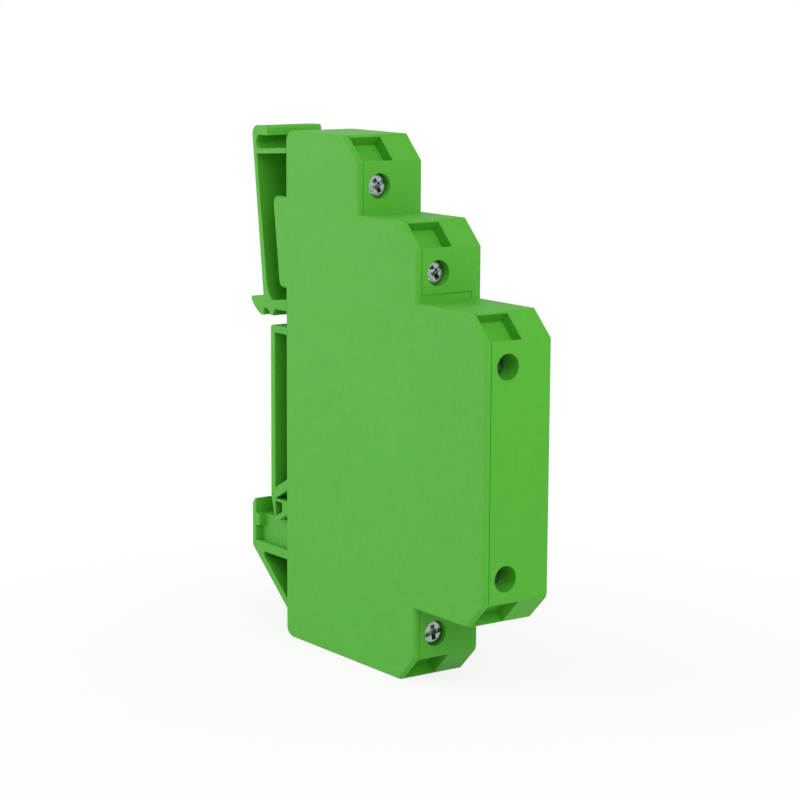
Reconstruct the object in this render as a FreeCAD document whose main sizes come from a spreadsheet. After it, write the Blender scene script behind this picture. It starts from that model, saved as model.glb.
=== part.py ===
import FreeCAD, Part

import math
import os
import re

import Sketcher

# Rail-mounted surge protector: a slim moulded case with five screw terminals on stepped tiers, and a
# rail foot with a latch lever at its back.
#
# Model frame: the origin lies on the rail seat, on the centre line of the rail and in the middle of
# the case's width. +X points to the front of the module, +Y to its closed side, +Z up.
#
# Case frame, in which the mouldings are drawn: X runs from the back of the case to its front, Y from
# the outer face of the cover through the width, Z from the case's foot upwards.

doc = FreeCAD.newDocument("SurgeProtector")

# Driving dimensions in millimetres
SIZES = [
    ("case_width", 12.5, "module pitch on the rail"),
    ("step_height", 12.6, "height of one terminal tier"),
    ("nose_height", 49.3, "height of the front panel part of the case"),
    ("tier_one", 21.5, "depth of the upper tier from the back of the case"),
    ("tier_two", 37.7, "depth of the second and of the lowest tier"),
    ("tier_three", 55.7, "depth of the front panel"),
    ("chamfer", 4.2, "leg of the 45 degree slope over each terminal"),
    ("back_corner", 1.7, "radius of the two back corners"),
    ("chin_round", 1.8, "radius between a front face and the slope below it"),
    ("cover_thickness", 1.05, "thickness of the side cover"),
    ("cover_bevel", 0.32, "bevel of the cover's outer edge"),
    ("seam", 0.14, "small bevel that makes the line between shell and cover"),
    ("wall", 1.2, "wall of the shell"),
    ("well_from_edge", 3.86, "screw axis from the edge between slope and front face"),
    ("well_from_side", 4.2, "screw axis from the cover's outer face"),
    ("well_diameter", 4.2, "bore of a screw well"),
    ("well_depth", 3.6, "length of the screw well in a tier"),
    ("well_block", 3.1, "half height of the block round a screw well"),
    ("well_block_wall", 0.9, "wall of that block towards the board"),
    ("block_gap", 0.75, "gap between that block and the board"),
    ("nose_sink", 2.4, "how much deeper the terminals sit in the front panel"),
    ("entry_depth", 2.0, "depth of a wire entry pocket, square to the slope"),
    ("entry_floor", 0.8, "thin floor of the pocket, to be broken out"),
    ("entry_lip", 0.3, "slope left between the pocket and the front face"),
    ("entry_margin", 0.5, "slope left at the pocket's other end on the upper tiers"),
    ("chin_margin", 0.15, "slope left at the pocket's other end on the lower tiers"),
    ("band_height", 1.3, "height of the set-back band at the foot of the second tier"),
    ("band_width", 9.8, "width of that band"),
    ("band_depth", 0.15, "how far that band is set back"),
    ("rail_height", 38.45, "rail centre above the foot of the case"),
    ("seat_depth", 6.3, "rail seat behind the back of the case"),
    ("seat_top", 15.05, "top of the seat block above the rail centre"),
    ("seat_low", 15.05, "low end of the seat face below the rail centre"),
    ("slant_base", 1.7, "slanting rib above the low end of the seat"),
    ("prop_drop", 0.2, "cell under the slanting rib below that end"),
    ("nook_front", 2.9, "front of the small cell behind the case"),
    ("nook_back", 5.1, "back of the small cell at its top"),
    ("nook_heel", 4.9, "back of the small cell at its foot"),
    ("nook_drop", 0.7, "top of the small cell below the low end of the seat"),
    ("nook_base", 0.6, "foot of the small cell above the slot's floor"),
    ("gusset_reach", 4.0, "reach of the lowest slanting rib behind the case"),
    ("seat_round", 0.6, "radius at the top of the seat block"),
    ("foot_wall", 1.25, "wall of the seat block"),
    ("slot_floor", 19.0, "floor of the lower rail slot below the rail centre"),
    ("slot_width", 5.0, "lower rail slot from seat to lip"),
    ("lip_thickness", 1.05, "lip behind the lower rail slot"),
    ("lip_height", 2.6, "lip above the slot's floor"),
    ("lip_bevel", 0.9, "bevel at the top of the lip"),
    ("slot_step", 1.05, "length of the pad at the foot of the lip"),
    ("slot_pad", 2.1, "height of that pad"),
    ("brace_top", 14.6, "upper face of the level brace in the foot"),
    ("brace_thickness", 1.6, "thickness of the level brace"),
    ("keel_corner", 13.5, "height of the foot's lower outer corner"),
    ("keel_end", 3.3, "height at which the sloping keel meets the case"),
    ("keel_wall", 1.3, "thickness of the sloping keel"),
    ("keel_cell", 8.8, "reach of the cell over the keel behind the case"),
    ("web_front", 1.15, "web of the foot below the shell's rim"),
    ("web_thickness", 1.4, "thickness of that web"),
    ("cell_pitch", 0.53, "rise of the slanting ribs in the foot, per length"),
    ("tongue_top", 75.9, "upper end of the cover's tongue"),
    ("tongue_foot", 60.5, "lower end of the cover's tongue"),
    ("tongue_reach", 4.1, "reach of the tongue behind the case at its top"),
    ("tongue_taper", 2.0, "how much shorter the tongue is at its lower end"),
    ("tongue_round", 1.1, "radius of the tongue's corners"),
    ("latch_gap", 0.15, "play of the latch between its neighbours"),
    ("latch_root", 8.85, "outer face of the latch above its hook, behind the case"),
    ("hook_body", 2.03, "hook's upper face above the latch's underside"),
    ("latch_lean", 0.1227, "outward lean of the latch, per height"),
    ("latch_top", 87.4, "top of the latch above the foot of the case"),
    ("latch_ledge", 4.8, "length of the thumb ledge"),
    ("latch_ledge_wall", 1.6, "thickness of the thumb ledge"),
    ("latch_round", 1.6, "radius of the latch's top corner"),
    ("latch_skin", 1.05, "outer wall of the latch"),
    ("latch_back", 1.6, "gap from the latch's ribs to the back of the case"),
    ("latch_rib_drop", 3.3, "rib under the ledge below the latch's top, at the case"),
    ("latch_rib_wall", 0.88, "thickness of that rib"),
    ("latch_tilt", 0.08, "rise of the latch's ribs towards the case, per length"),
    ("latch_cell", 6.95, "depth of the cells in the latch's near side"),
    ("latch_web", 1.4, "web in the middle of the latch"),
    ("sole_rise", 17.82, "underside of the latch above the rail centre"),
    ("latch_sole_wall", 1.75, "thickness of the latch's lower wall"),
    ("hook_reach", 3.8, "reach of the hook behind the latch"),
    ("hook_tooth", 1.4, "depth of the hook's teeth"),
    ("hook_sweep", 6.0, "radius of the hook's lower back"),
    ("notch_root", 17.63, "root of the rail notch above the rail centre"),
    ("notch_back", 2.4, "back of the rail notch behind the seat"),
    ("notch_width", 1.15, "width of the rail notch at its root"),
    ("pivot_in", 3.0, "latch pin in front of the back of the case"),
    ("pivot_drop", 15.1, "latch pin below the top of the case"),
    ("pin_diameter", 3.0, "latch pin"),
    ("pin_play", 0.05, "radial play of the latch on its pin"),
    ("eye_wall", 1.05, "wall of the latch's eye"),
    ("neck_height", 3.8, "height of the neck that carries the eye"),
    ("bay_play", 0.6, "room round the latch's eye"),
    ("bay_wall", 1.0, "wall of the bay that holds the eye"),
    ("head_depth", 1.85, "screw head below the front face of a tier"),
    ("head_diameter", 3.65, "screw head"),
    ("head_height", 1.5, "height of the screw head"),
    ("head_bevel", 0.2, "bevel of the screw head"),
    ("slot_cut", 0.7, "width of the driver slot"),
    ("slot_sink", 0.55, "depth of the driver slot"),
    ("cross_cut", 0.75, "width of the cross recess"),
    ("cross_span", 2.5, "span of the cross recess"),
    ("cross_sink", 1.0, "depth of the cross recess"),
    ("thread_diameter", 3.0, "screw thread"),
    ("screw_reach", 4.25, "thread from the head to its tip"),
    ("thread_play", 0.05, "radial play of the thread in the cage"),
    ("tip_play", 0.05, "gap between the screw's tip and the contact bar"),
    ("bar_thickness", 0.8, "contact bar"),
    ("bar_play", 0.1, "play of the bar in the cage"),
    ("bar_end", 0.4, "overhang of the bar past the cage"),
    ("bar_foot", 1.6, "height of the bar's foot strip"),
    ("bar_pin", 1.0, "width of the bar's solder pin"),
    ("pin_out", 0.6, "solder pin beyond the board"),
    ("cage_width", 5.0, "clamp cage across"),
    ("cage_height", 5.0, "clamp cage along the wire"),
    ("cage_side", 0.6, "side walls of the cage"),
    ("cage_nut", 1.2, "threaded wall of the cage"),
    ("cage_jaw", 0.8, "clamping wall of the cage"),
    ("cage_play", 0.15, "gap between the cage's nut and the bar when open"),
    ("wire_room", 2.8, "room for the wire when the clamp is open"),
    ("board_stand", 1.1, "room between the board and the closed wall"),
    ("board_thickness", 1.6, "circuit board"),
    ("board_gap", 0.5, "gap between the board and the walls"),
    ("hole_play", 0.1, "play round a solder pin or lead"),
    ("post_diameter", 4.4, "posts for the cover's pegs"),
    ("post_foot", 6.4, "foot of a post, which carries the board"),
    ("post_play", 0.15, "play of the board round a post"),
    ("post_in", 4.6, "two posts near the back of the case"),
    ("post_end", 4.9, "those posts from the case's foot and top"),
    ("post_middle_in", 33.4, "middle post from the back of the case"),
    ("post_middle_up", 50.4, "middle post above the foot of the case"),
    ("post_front_in", 49.4, "front post from the back of the case"),
    ("post_front_up", 37.2, "front post above the foot of the case"),
    ("peg_diameter", 2.0, "pegs of the cover"),
    ("peg_length", 3.0, "length of a peg"),
    ("peg_play", 0.04, "radial play of a peg in its post"),
    ("tube_in", 30.5, "gas discharge tube from the back of the case"),
    ("tube_up", 36.5, "middle of the tube above the foot of the case"),
    ("tube_gap", 0.55, "gap between the gas discharge tube and the cover"),
    ("tube_length", 10.0, "length of the tube"),
    ("tube_rim", 0.25, "how far the electrodes stand out from the ceramic"),
    ("tube_rim_width", 1.2, "width of an electrode's rim"),
    ("resistor_in", 14.5, "decoupling resistors from the back of the case"),
    ("resistor_up", 61.0, "upper resistor above the foot of the case"),
    ("resistor_gap", 3.6, "gap between the resistors"),
    ("resistor_diameter", 3.4, "decoupling resistor"),
    ("resistor_length", 9.0, "body of the resistor"),
    ("lead_diameter", 0.8, "leads of the tube and the resistors"),
    ("lead_stub", 1.6, "straight lead before the bend"),
    ("diode_in", 14.5, "suppressor diodes from the back of the case"),
    ("diode_drop", 4.85, "gap between the lower resistor and the upper diode"),
    ("diode_gap", 3.1, "gap between the diodes"),
    ("diode_length", 6.9, "body of the surface-mounted suppressor diode"),
    ("diode_width", 5.9, "width of the diode's body"),
    ("diode_height", 2.2, "height of the diode's body"),
    ("diode_lift", 0.15, "gap between the diode's body and the board"),
    ("diode_lead_width", 3.0, "width of the diode's leads"),
    ("diode_lead_sheet", 0.25, "sheet of the diode's leads"),
    ("diode_foot", 1.3, "foot of a diode's lead on the board"),
]

# Rest angle of each screw's driver slot, counted from the width of the case
SLOT_ANGLES = [28.0, 35.0, 15.0, 20.0, 10.0]

sheet = doc.addObject("Spreadsheet::Sheet", "Sizes")
for row, (alias, size, note) in enumerate(SIZES, 1):
    sheet.set("A%d" % row, alias)
    sheet.set("B%d" % row, str(size))
    sheet.setAlias("B%d" % row, alias)
    sheet.set("C%d" % row, note)
doc.recompute()

WORDS = re.compile(r"[a-z][a-z_]*")
FUNCTIONS = ("sqrt", "sin", "cos", "tan", "min", "max")


def cells(text):
    """Turns the bare names in an expression into references to the sheet."""
    def refer(match):
        word = match.group(0)
        return word if word in FUNCTIONS else "Sizes." + word
    return WORDS.sub(refer, str(text))


def size(text):
    """Value of an expression, in millimetres."""
    return float(sheet.evalExpression(cells(text)))


def bind(item, prop, text):
    """Ties a property to the sheet."""
    item.setExpression(prop, cells(text))


# Levels and planes that several pieces share
ROOT_TWO = "sqrt(2)"
LOW_TIER_TOP = "step_height"
NOSE_TOP = "(step_height + nose_height)"
TIER_TWO_TOP = "(2 * step_height + nose_height)"
CASE_TOP = "(3 * step_height + nose_height)"
SHELL_DEPTH = "(case_width - cover_thickness)"
INNER_SIDE = "(case_width - wall)"
SEAT = "(0 - seat_depth)"
BOARD_BACK = "(%s - board_stand)" % INNER_SIDE
BOARD_FACE = "(%s - board_thickness)" % BOARD_BACK
BLOCK_SIDE = "(%s - block_gap)" % BOARD_FACE
ENTRY_SIDE = "(%s - well_block_wall)" % BLOCK_SIDE
PIVOT_HEIGHT = "(%s - pivot_drop)" % CASE_TOP
EYE_RADIUS = "(pin_diameter / 2 + pin_play + eye_wall)"
BAY_FRONT = "(pivot_in + %s + bay_play)" % EYE_RADIUS
BAY_LOW = "(%s - %s - bay_play)" % (PIVOT_HEIGHT, EYE_RADIUS)
BAY_HIGH = "(%s + %s + bay_play)" % (PIVOT_HEIGHT, EYE_RADIUS)
LATCH_RIB = "(latch_top - latch_rib_drop)"
LATCH_SOLE = "(rail_height + sole_rise)"
HOOK_TOP = "(%s + hook_body)" % LATCH_SOLE
TUBE_RADIUS = "((%s - cover_thickness - tube_gap) / 2)" % BOARD_FACE

# Where the posts and the components stand on the board, in the case frame
POST_PLACES = [
    ("post_in", "(%s - post_end)" % CASE_TOP),
    ("post_in", "post_end"),
    ("post_middle_in", "post_middle_up"),
    ("post_front_in", "post_front_up"),
]
TUBE_PLACE = ("tube_in", "tube_up")
LOW_RESISTOR = "(resistor_up - resistor_diameter - resistor_gap)"
RESISTOR_PLACES = [("resistor_in", "resistor_up"), ("resistor_in", LOW_RESISTOR)]
HIGH_DIODE = "(%s - resistor_diameter / 2 - diode_drop - diode_width / 2)" % LOW_RESISTOR
DIODE_PLACES = [("diode_in", HIGH_DIODE), ("diode_in", "(%s - diode_width - diode_gap)" % HIGH_DIODE)]

# Terminals: front plane, edge between slope and front face, side of the slope, extra depth
TERMINALS = [
    ("tier_one", "(%s - chamfer)" % CASE_TOP, 1, "0"),
    ("tier_two", "(%s - chamfer)" % TIER_TWO_TOP, 1, "0"),
    ("tier_three", "(%s - chamfer)" % NOSE_TOP, 1, "nose_sink"),
    ("tier_three", "(%s + chamfer)" % LOW_TIER_TOP, -1, "nose_sink"),
    ("tier_two", "chamfer", -1, "0"),
]


def axis_height(edge, side):
    """Height of a terminal's screw axis."""
    return "(%s - %d * well_from_edge)" % (edge, side)


# Sketch and body helpers

def new_body(name):
    """A body whose own frame is the case frame."""
    body = doc.addObject("PartDesign::Body", name)
    body.Label = name
    bind(body, "Placement.Base.x", "seat_depth")
    bind(body, "Placement.Base.y", "0 - case_width / 2")
    bind(body, "Placement.Base.z", "0 - rail_height")
    return body


def new_sketch(body, plane, name, offset="0"):
    """An empty sketch on one of the body's own origin planes, moved along its normal."""
    sketch = body.newObject("Sketcher::SketchObject", name)
    support = [item for item in body.Origin.OriginFeatures if item.Role == plane][0]
    sketch.AttachmentSupport = (support, [""])
    sketch.MapMode = "FlatFace"
    bind(sketch, "AttachmentOffset.Base.z", offset)
    return sketch


def side_sketch(body, name, depth):
    """A sketch seen from the cover side, at a distance from the cover's outer face."""
    return new_sketch(body, "XZ_Plane", name, "0 - (%s)" % depth)


def arc_between(start, end, radius):
    """Arc that bulges to the right of the way from start to end."""
    chord = end.sub(start)
    half = chord.Length / 2
    right = FreeCAD.Vector(chord.y, -chord.x, 0).normalize()
    middle = start.add(chord.multiply(0.5))
    centre = middle.sub(right * math.sqrt(radius * radius - half * half))
    first = math.atan2(start.y - centre.y, start.x - centre.x)
    last = math.atan2(end.y - centre.y, end.x - centre.x)
    circle = Part.Circle(centre, FreeCAD.Vector(0, 0, 1), radius)
    return Part.ArcOfCircle(circle, first, last)


def draw_outline(sketch, corners):
    """Closed outline whose corners are tied to the sheet. A third value in a corner makes the side
    that follows it an arc of that radius."""
    first = sketch.GeometryCount
    points = [FreeCAD.Vector(size(corner[0]), size(corner[1]), 0) for corner in corners]
    count = len(points)
    for index, corner in enumerate(corners):
        start = points[index]
        end = points[(index + 1) % count]
        if len(corner) == 3:
            sketch.addGeometry(arc_between(start, end, size(corner[2])), False)
        else:
            sketch.addGeometry(Part.LineSegment(start, end), False)
    rules = []
    for index in range(count):
        following = first + (index + 1) % count
        rules.append(Sketcher.Constraint("Coincident", first + index, 2, following, 1))
    sketch.addConstraint(rules)
    for index, corner in enumerate(corners):
        own = first + index
        tied = [
            (Sketcher.Constraint("DistanceX", -1, 1, own, 1, points[index].x), corner[0]),
            (Sketcher.Constraint("DistanceY", -1, 1, own, 1, points[index].y), corner[1]),
        ]
        if len(corner) == 3:
            tied.append((Sketcher.Constraint("Radius", own, size(corner[2])), corner[2]))
        for rule, text in tied:
            number = sketch.addConstraint(rule)
            bind(sketch, "Constraints[%d]" % number, text)


def draw_circle(sketch, across, up, diameter):
    """Circle tied to the sheet."""
    centre = FreeCAD.Vector(size(across), size(up), 0)
    ring = Part.Circle(centre, FreeCAD.Vector(0, 0, 1), size(diameter) / 2)
    own = sketch.addGeometry(ring, False)
    tied = [
        (Sketcher.Constraint("DistanceX", -1, 1, own, 3, centre.x), across),
        (Sketcher.Constraint("DistanceY", -1, 1, own, 3, centre.y), up),
        (Sketcher.Constraint("Diameter", own, size(diameter)), diameter),
    ]
    for rule, text in tied:
        number = sketch.addConstraint(rule)
        bind(sketch, "Constraints[%d]" % number, text)


def box_corners(left, right, low, high):
    """Corners of a rectangle, counter-clockwise."""
    return [(left, low), (right, low), (right, high), (left, high)]


def pad(body, name, sketch, length, backwards=False):
    """Pad of a sketch. Side sketches grow towards the closed side of the case."""
    feature = body.newObject("PartDesign::Pad", name)
    feature.Profile = sketch
    feature.Reversed = not backwards
    bind(feature, "Length", length)
    return settle(body, feature, grows=True)


def cut(body, name, sketch, length, backwards=False):
    """Pocket of a sketch. Side sketches cut towards the closed side of the case."""
    feature = body.newObject("PartDesign::Pocket", name)
    feature.Profile = sketch
    feature.Reversed = backwards
    bind(feature, "Length", length)
    return settle(body, feature, grows=False)


def settle(body, feature, grows):
    """Recomputes a feature and stops if it adds or removes nothing."""
    before = feature.BaseFeature.Shape.Volume if feature.BaseFeature else 0.0
    doc.recompute()
    gained = feature.Shape.Volume - before
    if (gained > 0) != grows or abs(gained) < 1e-6:
        raise RuntimeError("%s of %s changes nothing" % (feature.Label, body.Label))
    return feature


def side_pad(body, name, start, end, outlines):
    """Pad of outlines in the side view, between two distances from the cover's outer face."""
    sketch = side_sketch(body, name + "Sketch", start)
    for corners in outlines:
        draw_outline(sketch, corners)
    return pad(body, name, sketch, "%s - %s" % (end, start))


def side_cut(body, name, start, end, outlines):
    """Pocket of outlines in the side view, between two distances from the cover's outer face."""
    sketch = side_sketch(body, name + "Sketch", start)
    for corners in outlines:
        draw_outline(sketch, corners)
    return cut(body, name, sketch, "%s - %s" % (end, start))


NEAR = 1e-4


def through_edges(shape, places):
    """Names of the edges that run through the width at the given places of the side view."""
    names = []
    for number, edge in enumerate(shape.Edges, 1):
        ends = [vertex.Point for vertex in edge.Vertexes]
        for across, up in places:
            if all(abs(end.x - size(across)) < NEAR and abs(end.z - size(up)) < NEAR for end in ends):
                names.append("Edge%d" % number)
    return names


def face_edges(shape, depth):
    """Names of the edges in the plane at a distance from the cover's outer face."""
    names = []
    for number, edge in enumerate(shape.Edges, 1):
        ends = [vertex.Point for vertex in edge.Vertexes]
        if all(abs(end.y - size(depth)) < NEAR for end in ends):
            names.append("Edge%d" % number)
    return names


def soften(body, name, feature, edges, radius, kind="Fillet"):
    """Fillet or chamfer of named edges."""
    if not edges:
        raise RuntimeError("%s of %s finds no edge" % (name, body.Label))
    step = body.newObject("PartDesign::" + kind, name)
    step.Base = (feature, edges)
    bind(step, "Radius" if kind == "Fillet" else "Size", radius)
    doc.recompute()
    return step


# Shapes in the side view

def case_outline(inset):
    """Outline of the stepped case, set in from its outer faces."""
    slack = "((%s - 1) * (%s))" % (ROOT_TWO, inset)
    inner = "(%s)" % inset
    return [
        (inner, inner),
        ("tier_two - chamfer - %s" % slack, inner),
        ("tier_two - %s" % inner, "chamfer + %s" % slack),
        ("tier_two - %s" % inner, "%s + %s" % (LOW_TIER_TOP, inner)),
        ("tier_three - chamfer - %s" % slack, "%s + %s" % (LOW_TIER_TOP, inner)),
        ("tier_three - %s" % inner, "%s + chamfer + %s" % (LOW_TIER_TOP, slack)),
        ("tier_three - %s" % inner, "%s - chamfer - %s" % (NOSE_TOP, slack)),
        ("tier_three - chamfer - %s" % slack, "%s - %s" % (NOSE_TOP, inner)),
        ("tier_two - %s" % inner, "%s - %s" % (NOSE_TOP, inner)),
        ("tier_two - %s" % inner, "%s - chamfer - %s" % (TIER_TWO_TOP, slack)),
        ("tier_two - chamfer - %s" % slack, "%s - %s" % (TIER_TWO_TOP, inner)),
        ("tier_one - %s" % inner, "%s - %s" % (TIER_TWO_TOP, inner)),
        ("tier_one - %s" % inner, "%s - chamfer - %s" % (CASE_TOP, slack)),
        ("tier_one - chamfer - %s" % slack, "%s - %s" % (CASE_TOP, inner)),
        (inner, "%s - %s" % (CASE_TOP, inner)),
    ]


def slope_point(front, edge, side, along, deep):
    """Point given by its way up the slope from the front edge and its depth square to the slope."""
    across = "%s - ((%s) + (%s)) / %s" % (front, along, deep, ROOT_TWO)
    up = "%s + %d * ((%s) - (%s)) / %s" % (edge, side, along, deep, ROOT_TWO)
    return (across, up)


def entry_outline(front, edge, side):
    """Wire entry pocket, cut square into the slope."""
    far_end = "(chamfer * %s - %s)" % (ROOT_TWO, "entry_margin" if side > 0 else "chin_margin")
    outside = "(0 - entry_depth / 2)"
    return [
        slope_point(front, edge, side, "entry_lip", outside),
        slope_point(front, edge, side, "entry_lip", "entry_depth"),
        slope_point(front, edge, side, far_end, "entry_depth"),
        slope_point(front, edge, side, far_end, outside),
    ]


def terminal_block(front, edge, side, extra):
    """Solid plastic round a screw well and behind a wire entry pocket."""
    depth = "(well_depth + %s)" % extra
    shelf = "(entry_depth + entry_floor)"
    corner = "%s - %s" % (front, depth)
    axis = axis_height(edge, side)
    low = "%s - %d * well_block" % (axis, side)
    meet = "%s + %d * (%s - %s * %s)" % (edge, side, depth, ROOT_TWO, shelf)
    return [
        (front, edge),
        ("%s - chamfer" % front, "%s + %d * chamfer" % (edge, side)),
        ("%s - chamfer - %s / %s" % (front, shelf, ROOT_TWO),
         "%s + %d * (chamfer - %s / %s)" % (edge, side, shelf, ROOT_TWO)),
        (corner, meet),
        (corner, low),
        (front, low),
    ]


# Main shell

def make_main_shell():
    """Tray of the case with its terminal blocks, posts, latch bay and rail foot."""
    body = new_body("main_shell")
    block = side_pad(body, "CaseBlock", "cover_thickness", "case_width", [case_outline("0")])
    inside = "wall / 2"
    keel_slope = "((keel_corner - keel_end) / (seat_depth + slot_width + lip_thickness))"
    floor = "(rail_height - slot_floor)"
    lip_in = "(%s - slot_width)" % SEAT
    lip_out = "(%s - slot_width - lip_thickness)" % SEAT
    seat_low = "(rail_height - seat_low)"
    seat_top = "(rail_height + seat_top)"
    finger = "(%s + foot_wall)" % SEAT
    foot = [
        (inside, seat_top),
        (SEAT, seat_top),
        (SEAT, seat_low),
        (finger, floor),
        (lip_in, floor),
        (lip_in, "%s + lip_height" % floor),
        ("%s - lip_thickness / 3" % lip_in, "%s + lip_height" % floor),
        (lip_out, "%s + lip_height - lip_bevel" % floor),
        (lip_out, "keel_corner"),
        (inside, "keel_end - %s * %s" % (keel_slope, inside)),
    ]
    side_pad(body, "FootBlock", "cover_thickness", "case_width", [foot])

    side_cut(body, "Cavity", "cover_thickness", INNER_SIDE, [case_outline("wall")])
    blocks = [terminal_block(*terminal) for terminal in TERMINALS]
    side_pad(body, "TerminalBlocks", "cover_thickness", BLOCK_SIDE, blocks)

    # The cells of the rail foot are open to the cover side and closed by the far wall
    cell_left = "(%s + foot_wall)" % SEAT
    slant_low = "(%s + slant_base)" % seat_low
    prop_low = "(%s - prop_drop)" % seat_low
    nook_top = "%s - nook_drop" % seat_low
    keel_top = "keel_end + keel_wall * sqrt(1 + %s * %s)" % (keel_slope, keel_slope)
    ribs = [
        [
            (cell_left, slant_low),
            ("0", "%s + cell_pitch * (seat_depth - foot_wall)" % slant_low),
            ("0", "%s - foot_wall" % seat_top),
            (cell_left, "%s - foot_wall" % seat_top),
        ],
        [
            (cell_left, prop_low),
            ("0", prop_low),
            ("0", "%s + cell_pitch * (seat_depth - foot_wall)" % prop_low),
        ],
        [
            ("0 - nook_heel", "%s + nook_base" % floor),
            ("0 - nook_front", "%s + nook_base + (nook_heel - nook_front) * cell_pitch" % floor),
            ("0 - nook_front", nook_top),
            ("0 - nook_back", nook_top),
        ],
        [
            ("0 - gusset_reach", floor),
            ("0", floor),
            ("0", "%s + gusset_reach * cell_pitch" % floor),
        ],
        [
            ("0 - keel_cell", "brace_top - brace_thickness"),
            ("0 - keel_cell", "%s + keel_cell * %s" % (keel_top, keel_slope)),
            ("0", keel_top),
            ("0", "brace_top - brace_thickness"),
        ],
    ]
    side_cut(body, "FootCells", "cover_thickness", INNER_SIDE, ribs)
    web = [
        ("%s + slot_step" % lip_in, "%s + 0.3" % floor),
        ("%s + slot_step" % lip_in, "%s - slot_pad" % floor),
        (lip_in, "%s - slot_pad" % floor),
        (lip_in, "brace_top"),
        ("0", "brace_top"),
        ("0", floor),
        (finger, floor),
        ("%s - 0.1" % finger, "%s + 0.3" % floor),
    ]
    side_cut(body, "FootWeb", "cover_thickness", "(cover_thickness + web_front)", [web])
    far_cell = box_corners(lip_in, "0", "brace_top", "%s - foot_wall" % floor)
    side_cut(body, "FootFarCell", "(cover_thickness + web_front + web_thickness)", "case_width", [far_cell])

    # Bay behind the latch, with the pin that the latch turns on
    bay_walls = box_corners(
        inside, "%s + bay_wall" % BAY_FRONT, "%s - bay_wall" % BAY_LOW, "%s + bay_wall" % BAY_HIGH)
    side_pad(body, "BayWalls", "cover_thickness", "(case_width - wall / 2)", [bay_walls])
    bay = box_corners("0 - wall", BAY_FRONT, BAY_LOW, BAY_HIGH)
    side_cut(body, "Bay", "cover_thickness", INNER_SIDE, [bay])
    pin = side_sketch(body, "LatchPinSketch", "cover_thickness + latch_gap")
    draw_circle(pin, "pivot_in", PIVOT_HEIGHT, "pin_diameter")
    pad(body, "LatchPin", pin, "case_width - wall / 2 - cover_thickness - latch_gap")

    # Posts: the wide foot carries the board, the slim part takes a peg of the cover
    feet = side_sketch(body, "PostFeetSketch", BOARD_BACK)
    posts = side_sketch(body, "PostsSketch", "cover_thickness")
    sockets = side_sketch(body, "SocketsSketch", "cover_thickness")
    for across, up in POST_PLACES:
        draw_circle(feet, across, up, "post_foot")
        draw_circle(posts, across, up, "post_diameter")
        draw_circle(sockets, across, up, "peg_diameter + 2 * peg_play")
    pad(body, "PostFeet", feet, "case_width - wall / 2 - %s" % BOARD_BACK)
    pad(body, "Posts", posts, "case_width - wall / 2 - cover_thickness")
    last = cut(body, "Sockets", sockets, "peg_length + latch_gap")

    # Rounded corners
    back = through_edges(last.Shape, [("0", "0"), ("0", CASE_TOP)])
    last = soften(body, "BackCorners", last, back, "back_corner")
    chin_places = [("tier_three", "%s + chamfer" % LOW_TIER_TOP), ("tier_two", "chamfer")]
    chins = through_edges(last.Shape, chin_places)
    last = soften(body, "Chins", last, chins, "chin_round")
    seat = through_edges(last.Shape, [(SEAT, seat_top)])
    last = soften(body, "SeatCorner", last, seat, "seat_round")

    # Screw wells and wire entry pockets
    for number, (front, edge, side, extra) in enumerate(TERMINALS, 1):
        well = new_sketch(body, "YZ_Plane", "Well%dSketch" % number, front)
        draw_circle(well, "well_from_side", axis_height(edge, side), "well_diameter")
        cut(body, "Well%d" % number, well, "well_depth + %s" % extra)
    pockets = [entry_outline(front, edge, side) for front, edge, side, extra in TERMINALS]
    side_cut(body, "WireEntries", "cover_thickness", ENTRY_SIDE, pockets)
    band = new_sketch(body, "YZ_Plane", "BandSketch", "tier_two")
    rim = "(cover_thickness + band_width)"
    draw_outline(band, box_corners("cover_thickness", rim, NOSE_TOP, "%s + band_height" % NOSE_TOP))
    cut(body, "Band", band, "band_depth")
    return body


# Side cover

def make_side_cover():
    """Flat cover with a tongue over the latch and pegs for the posts."""
    body = new_body("side_cover")
    side_pad(body, "Plate", "0", "cover_thickness", [case_outline("0")])
    inside = "wall"
    tongue = [
        (inside, "tongue_foot"),
        (inside, "tongue_top"),
        ("0 - tongue_reach", "tongue_top"),
        ("0 - tongue_reach + tongue_taper", "tongue_foot"),
    ]
    last = side_pad(body, "Tongue", "0", "cover_thickness", [tongue])
    back = through_edges(last.Shape, [("0", "0"), ("0", CASE_TOP)])
    last = soften(body, "BackCorners", last, back, "back_corner")
    ends = through_edges(last.Shape, [tongue[2], tongue[3]])
    last = soften(body, "TongueCorners", last, ends, "tongue_round")
    outer = face_edges(last.Shape, "0")
    last = soften(body, "OuterEdge", last, outer, "cover_bevel", "Chamfer")
    seam_edges = face_edges(last.Shape, "cover_thickness")
    soften(body, "Seam", last, seam_edges, "seam", "Chamfer")
    pegs = side_sketch(body, "PegsSketch", "cover_thickness / 2")
    for across, up in POST_PLACES:
        draw_circle(pegs, across, up, "peg_diameter")
    pad(body, "Pegs", pegs, "peg_length + cover_thickness / 2")
    return body


# Rail latch

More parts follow.
